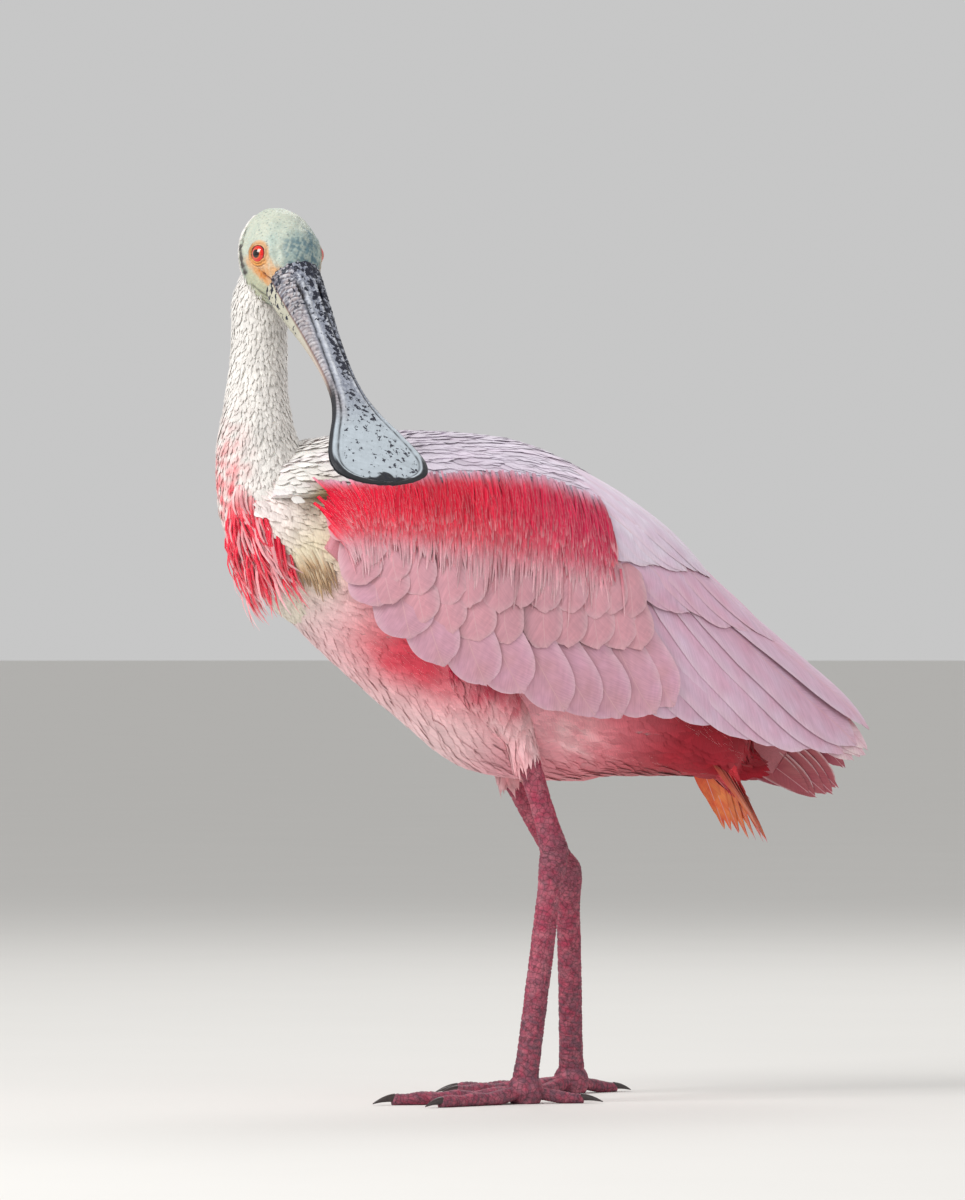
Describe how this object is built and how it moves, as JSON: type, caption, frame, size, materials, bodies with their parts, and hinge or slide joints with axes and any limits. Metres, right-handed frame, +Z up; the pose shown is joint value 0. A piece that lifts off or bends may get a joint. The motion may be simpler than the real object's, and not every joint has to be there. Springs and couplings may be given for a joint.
{
  "type": "spoonbill model",
  "caption": "Life-size still model of a standing pink wading bird with a spoon-shaped bill, its head turned back over one side.",
  "frame": {"origin": "on the floor, under the middle of the whole model's bounding box", "axes": "+Z up; the breast faces -X and the tail +X; the bird's left side faces -Y and its right side +Y"},
  "size_m": [0.3698, 0.2244, 0.4793],
  "materials": {
    "white_plumage": "soft white feathers flushed with pink",
    "pink_plumage": "dusty pink vaned feathers with a carmine shoulder band",
    "rump_plumage": "orange and red tail feathers",
    "head_skin": "bare greenish-grey skin with ochre round the eye",
    "bill_horn": "satin grey horn, spotted dark",
    "leg_skin": "scaly crimson and purplish-grey skin",
    "claw_horn": "dark satin horn",
    "eye": "wet red iris with a black pupil"
  },
  "bodies": {
    "root": {"torso": "white_plumage", "neck": "white_plumage", "head": "head_skin", "bill_upper": "bill_horn", "bill_lower": "bill_horn", "tail": "rump_plumage", "eye_left": "eye", "wing_left": "pink_plumage", "thigh_left": "pink_plumage", "shin_left": "leg_skin", "tarsus_left": "leg_skin", "foot_left": "leg_skin", "toe_inner_left": "leg_skin", "claw_inner_left": "claw_horn", "toe_middle_left": "leg_skin", "claw_middle_left": "claw_horn", "toe_outer_left": "leg_skin", "claw_outer_left": "claw_horn", "toe_hind_left": "leg_skin", "claw_hind_left": "claw_horn", "eye_right": "eye", "wing_right": "pink_plumage", "thigh_right": "pink_plumage", "shin_right": "leg_skin", "tarsus_right": "leg_skin", "foot_right": "leg_skin", "toe_inner_right": "leg_skin", "claw_inner_right": "claw_horn", "toe_middle_right": "leg_skin", "claw_middle_right": "claw_horn", "toe_outer_right": "leg_skin", "claw_outer_right": "claw_horn", "toe_hind_right": "leg_skin", "claw_hind_right": "claw_horn"}
  },
  "joints": []
}
